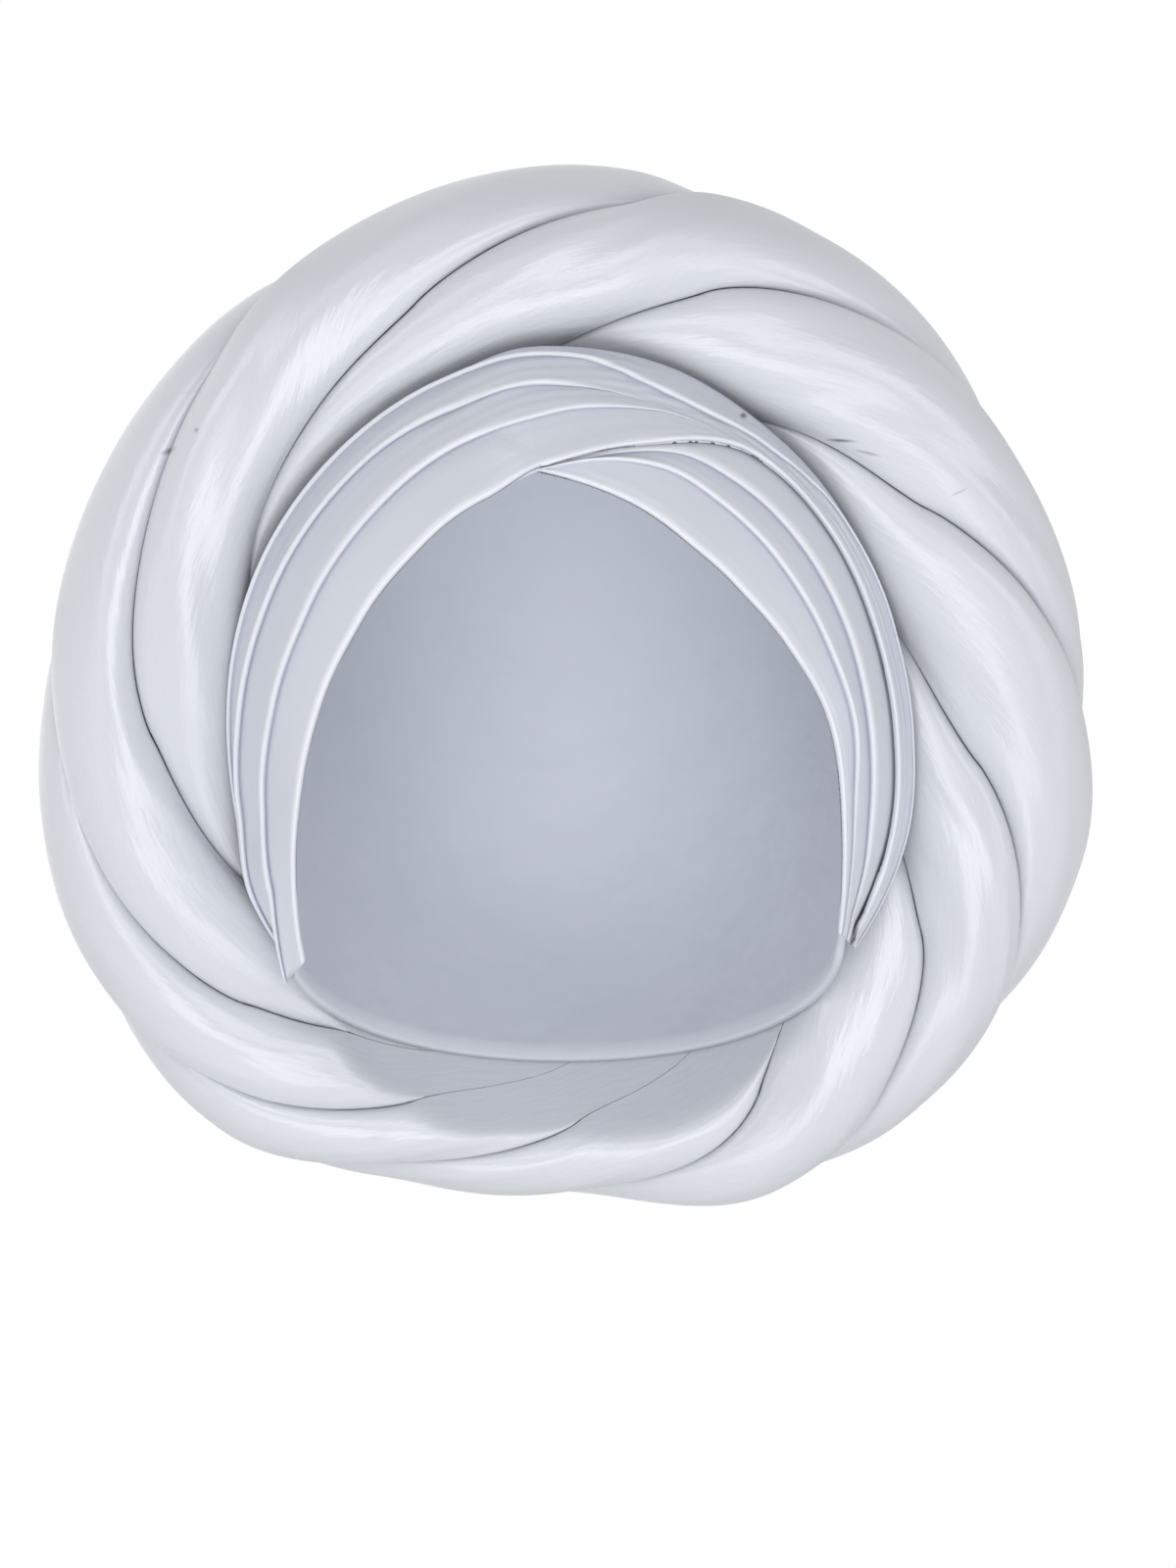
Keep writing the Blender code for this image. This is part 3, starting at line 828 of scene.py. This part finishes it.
def satin(name, code, roughness, drawn_out, streak, relief):
    """Polyester satin, woven with long smooth floats: it gives a bright sheen drawn out along each
    fold, whose edges run ragged along the threads. Folded edges get a painted highlight: a lighter
    colour."""
    material = bpy.data.materials.new(name)
    material.use_nodes = True
    shader = material.node_tree.nodes["Principled BSDF"]
    for socket, value in (
        ("Roughness", roughness),
        ("IOR", 1.6),
        ("Specular IOR Level", 0.8),
        ("Anisotropic", drawn_out),
        ("Sheen Weight", 0.1),
        ("Sheen Roughness", 0.4),
    ):
        shader.inputs[socket].default_value = value
    along = add_node(material, "ShaderNodeTangent", direction_type="UV_MAP", uv_map="weave")
    # Painted highlight: the bands' folded edges are mixed towards a lighter colour
    edge_highlight = add_node(material, "ShaderNodeAttribute", attribute_name="edge_highlight")
    highlighted = add_node(
        material,
        "ShaderNodeMix",
        [(MIX_FACTOR, edge_highlight, "Fac")],
        {MIX_FIRST: colour(code), MIX_SECOND: colour(EDGE_HIGHLIGHT_COLOUR)},
        data_type="RGBA",
    )
    # Darkens the satin at the marks: dirt at the smudges, painted shade at the pin's hole and wrinkles
    soiled_and_shaded = add_node(
        material,
        "ShaderNodeMix",
        [(MIX_FACTOR, dirt_and_painted_shade(material), "Value"), (MIX_FIRST, highlighted, MIX_RESULT)],
        {MIX_SECOND: colour(DIRT_AND_SHADE_COLOUR)},
        data_type="RGBA",
    )
    uv = add_node(material, "ShaderNodeUVMap", uv_map="weave")
    # Real satin has some 60 threads a centimetre. Drawn coarser, they show as slanting streaks.
    streaks = add_node(
        material,
        "ShaderNodeMapping",
        [("Vector", uv, "UV")],
        {"Rotation": (0.0, 0.0, STREAK_SLANT), "Scale": (*streak, 1.0)},
        vector_type="TEXTURE",
    )
    noise = add_node(
        material,
        "ShaderNodeTexNoise",
        [("Vector", streaks, "Vector")],
        {"Scale": 1.0, "Detail": 3.0, "Roughness": 0.6},
    )
    bump = add_node(
        material,
        "ShaderNodeBump",
        [("Height", noise, "Fac")],
        {"Strength": 0.8, "Distance": relief},
    )
    for socket, node, output in (
        ("Base Color", soiled_and_shaded, MIX_RESULT),
        ("Tangent", along, "Tangent"),
        ("Normal", bump, "Normal"),
    ):
        material.node_tree.links.new(node.outputs[output], shader.inputs[socket])
    return material


# The scene

# The picture in pixels, and what one of them is at the ring
PICTURE_WIDTH = 1200
PICTURE_HEIGHT = 1600
RING_COLUMN = 575
RING_ROW = 700
PIXEL = 0.00026
CAMERA_AWAY = 3.0
SENSOR = 36.0

FLOOR_SIZE = 8.0
FLOOR_LEVEL = -1.4
LAMPS = (
    # name, place, size, power
    ("key", (-0.15, -2.1, 0.25), 0.9, 11.0),
    ("left", (-1.7, -1.0, 0.4), 0.8, 6.0),
    ("right", (1.7, -1.0, 0.1), 0.8, 6.0),
    ("low", (0.0, -1.5, -0.95), 0.8, 9.0),
)


def lamp(name, place_at, aim, size, power):
    light = bpy.data.lights.new(name, "AREA")
    light.shape = "SQUARE"
    light.size = size
    light.energy = power
    lamp_object = bpy.data.objects.new(name, light)
    lamp_object.location = place_at
    way = np.array(aim) - np.array(place_at)
    lamp_object.rotation_euler = (
        math.atan2(math.hypot(way[0], way[1]), -way[2]),
        0.0,
        math.atan2(-way[0], way[1]),
    )
    bpy.context.scene.collection.objects.link(lamp_object)


def camera():
    """Straight on to the front, as the photograph is taken, from far enough to flatten it."""
    view = bpy.data.cameras.new("front")
    view.sensor_fit = "VERTICAL"
    view.sensor_height = SENSOR
    view.lens = SENSOR * CAMERA_AWAY / (PICTURE_HEIGHT * PIXEL)
    eye = bpy.data.objects.new("front", view)
    eye.location = (
        (PICTURE_WIDTH / 2 - RING_COLUMN) * PIXEL,
        -CAMERA_AWAY,
        -RING_DROP + (RING_ROW - PICTURE_HEIGHT / 2) * PIXEL,
    )
    eye.rotation_euler = (math.radians(90), 0.0, 0.0)
    bpy.context.scene.collection.objects.link(eye)
    bpy.context.scene.camera = eye


def surroundings():
    """A plain pale floor and soft studio light."""
    bpy.ops.object.select_all(action="DESELECT")
    bpy.ops.mesh.primitive_plane_add(size=FLOOR_SIZE, location=(0.0, 0.0, FLOOR_LEVEL))
    floor = bpy.context.object
    floor.name = "floor"
    # Matt white paint, which gives soft light from below and no reflection
    paint = bpy.data.materials.new("matt_white_floor")
    paint.use_nodes = True
    paint.node_tree.nodes["Principled BSDF"].inputs["Base Color"].default_value = colour("#F4F4F4")
    paint.node_tree.nodes["Principled BSDF"].inputs["Roughness"].default_value = 0.9
    floor.data.materials.append(paint)
    world = bpy.data.worlds.new("white_room")
    bpy.context.scene.world = world
    world.use_nodes = True
    ways = add_node(world, "ShaderNodeTexCoord")
    parts = add_node(world, "ShaderNodeSeparateXYZ", [("Vector", ways, "Generated")])
    # The room is white behind the tie, and dimmer where the lamps stand
    white = add_node(
        world,
        "ShaderNodeMapRange",
        [("Value", parts, "Y")],
        {"From Min": -0.3, "From Max": 0.5, "To Min": 0.45, "To Max": 1.0},
    )
    background = world.node_tree.nodes["Background"]
    background.inputs["Color"].default_value = colour("#FFFFFF")
    world.node_tree.links.new(white.outputs["Result"], background.inputs["Strength"])
    for name, place_at, size, power in LAMPS:
        lamp(name, place_at, (0.0, 0.0, -RING_DROP), size, power)


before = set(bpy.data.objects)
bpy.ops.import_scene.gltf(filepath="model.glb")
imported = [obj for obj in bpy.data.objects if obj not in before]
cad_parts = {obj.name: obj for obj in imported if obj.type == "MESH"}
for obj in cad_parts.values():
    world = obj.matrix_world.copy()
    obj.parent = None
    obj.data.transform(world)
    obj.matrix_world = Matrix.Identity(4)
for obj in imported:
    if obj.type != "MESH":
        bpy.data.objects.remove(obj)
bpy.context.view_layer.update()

# The folds' satin lies smooth over the padding and gives the brightest sheen, drawn out along them
padding_satin = satin("padded_polyester_satin", "#CCCFD6", 0.32, 1.0, (0.012, 0.0018), 0.0002)
# The bands' satin is pressed flat, so its sheen is fainter; its folded edges get a painted highlight as
# light lines
pleated_satin = satin("pleated_polyester_satin", "#CDD1DB", 0.46, 1.0, (0.012, 0.0016), 0.0001)
# The cap's cloth shows its dull side and small soft dents, so the hollow looks even and matt
plain_satin = satin("plain_polyester_satin", "#C2C6D0", 0.70, 0.0, (0.030, 0.0200), 0.0020)

cap = crown_cap()
cap.data.materials.append(plain_satin)
under = front_band_under()
under.data.materials.append(pleated_satin)
over = front_band_over()
over.data.materials.append(pleated_satin)
for piece, node in ((cap, "crown_cap"), (under, "front_band_under"), (over, "front_band_over")):
    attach(piece, "root")
    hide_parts(node)

for index in range(len(CREASE_TABLE)):
    fold = padded_fold(index)
    fold.data.materials.append(padding_satin)
    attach(fold, "root")
    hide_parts(f"padded_fold_{index + 1:02d}")

surroundings()
camera()
bpy.context.scene.view_settings.view_transform = "Standard"
